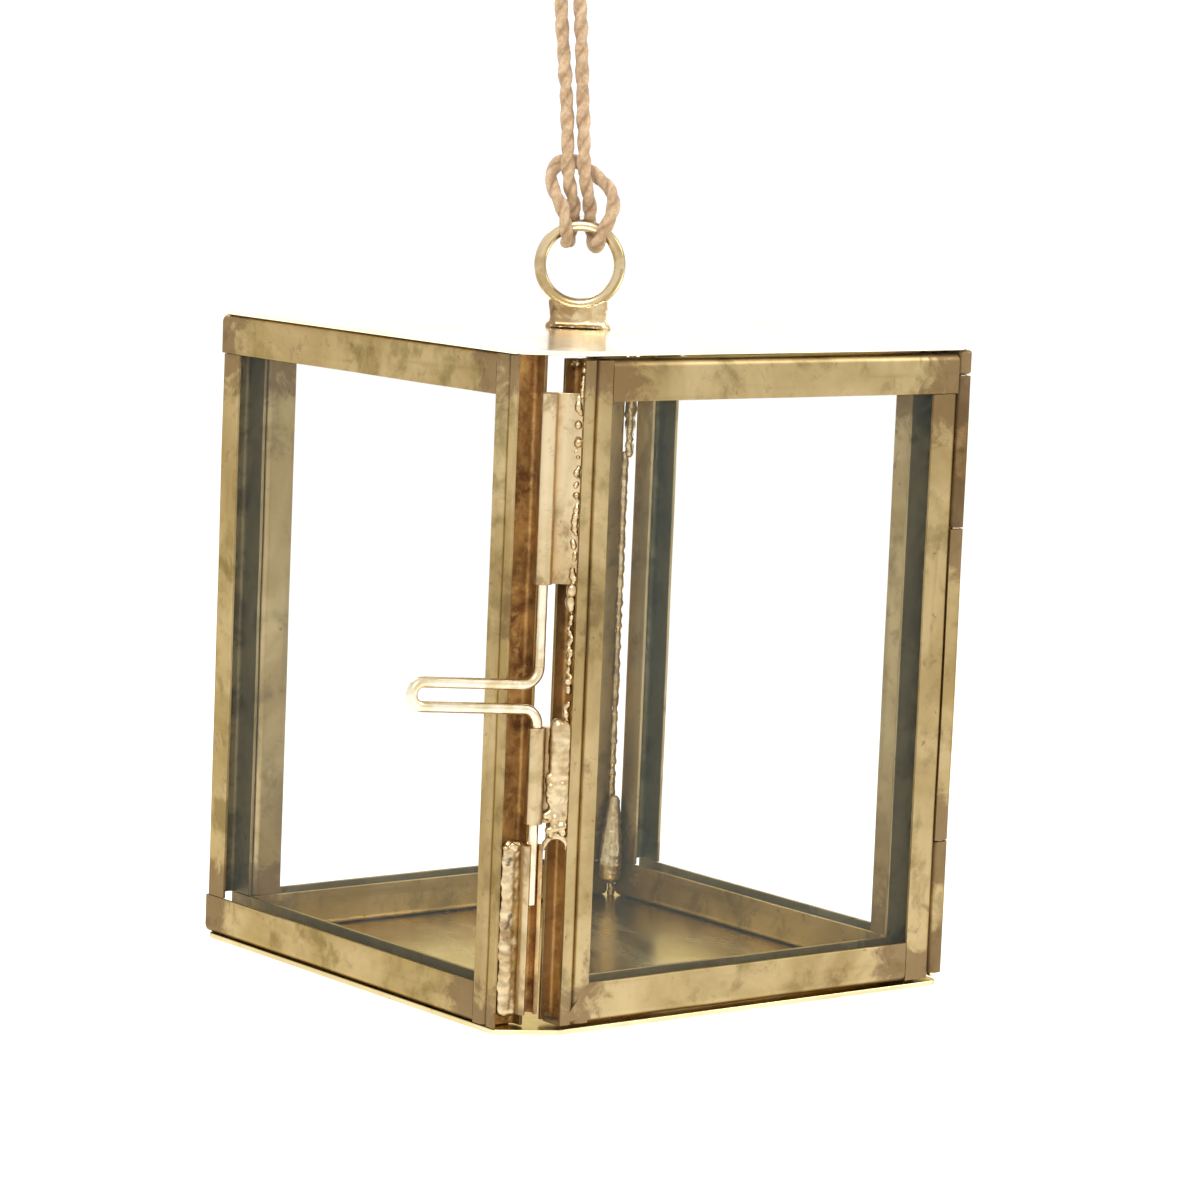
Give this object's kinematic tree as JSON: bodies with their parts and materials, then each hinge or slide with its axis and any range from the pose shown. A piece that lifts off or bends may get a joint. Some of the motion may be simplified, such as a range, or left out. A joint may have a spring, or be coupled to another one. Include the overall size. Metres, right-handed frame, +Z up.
{
  "type": "hanging lantern",
  "caption": "Small square glass lantern in tarnished brass channel, with a hinged glazed door, a hairpin wire latch, and a ring hung from a looped jute cord.",
  "frame": {"origin": "centre of the hanging ring's eye, above the roof", "axes": "+Z up along the hang line, -Y out of the door, +X to the hinge side"},
  "size_m": [0.097, 0.0792, 0.1634],
  "materials": {
    "brass_frame": "satin, tarnished",
    "brass_plate": "polished",
    "brass_wire": "polished",
    "solder": "satin",
    "glass": "clear",
    "jute": "fibrous"
  },
  "bodies": {
    "lantern_body": {"roof_plate": "brass_plate", "floor_plate": "brass_plate", "hanging_ring": "brass_wire", "ring_solder": "solder", "left_top_rail": "brass_frame", "left_bottom_rail": "brass_frame", "left_rear_stile": "brass_frame", "left_front_stile": "brass_frame", "left_glass": "glass", "back_top_rail": "brass_frame", "back_bottom_rail": "brass_frame", "back_left_stile": "brass_frame", "back_right_stile": "brass_frame", "back_glass": "glass", "right_top_rail": "brass_frame", "right_bottom_rail": "brass_frame", "right_front_stile": "brass_frame", "right_rear_stile": "brass_frame", "right_glass": "glass", "rear_solder_upper": "solder", "rear_solder_lower": "solder", "hinge_knuckle_upper": "brass_frame", "hinge_knuckle_lower": "brass_frame", "hinge_pin": "brass_wire", "corner_cap": "brass_frame", "latch_keeper": "brass_frame", "keeper_saddle": "solder", "hanging_cord": "jute", "cord_knot": "jute"},
    "door": {"door_top_rail": "brass_frame", "door_bottom_rail": "brass_frame", "door_hinge_stile": "brass_frame", "door_latch_stile": "brass_frame", "door_glass": "glass", "door_hinge_knuckle": "brass_frame", "latch_knuckle_upper": "brass_frame", "latch_knuckle_lower": "brass_frame"},
    "latch_shank_body": {"latch_shank": "brass_wire"},
    "latch_handle_body": {"latch_handle": "brass_wire"}
  },
  "joints": [
    {"name": "door_hinge", "type": "hinge", "parent": "lantern_body", "child": "door", "pos_m": [0.0429, -0.0375, -0.0592], "axis": [0, 0, 1], "range_deg": [0, 170]},
    {"name": "latch_slide", "type": "slide", "parent": "door", "child": "latch_shank_body", "axis": [0, 0, 1], "range_m": [0, 0.0105]},
    {"name": "latch_turn", "type": "hinge", "parent": "latch_shank_body", "child": "latch_handle_body", "pos_m": [-0.0319, -0.036, -0.0573], "axis": [0, 0, 1], "range_deg": [0, 130]}
  ]
}
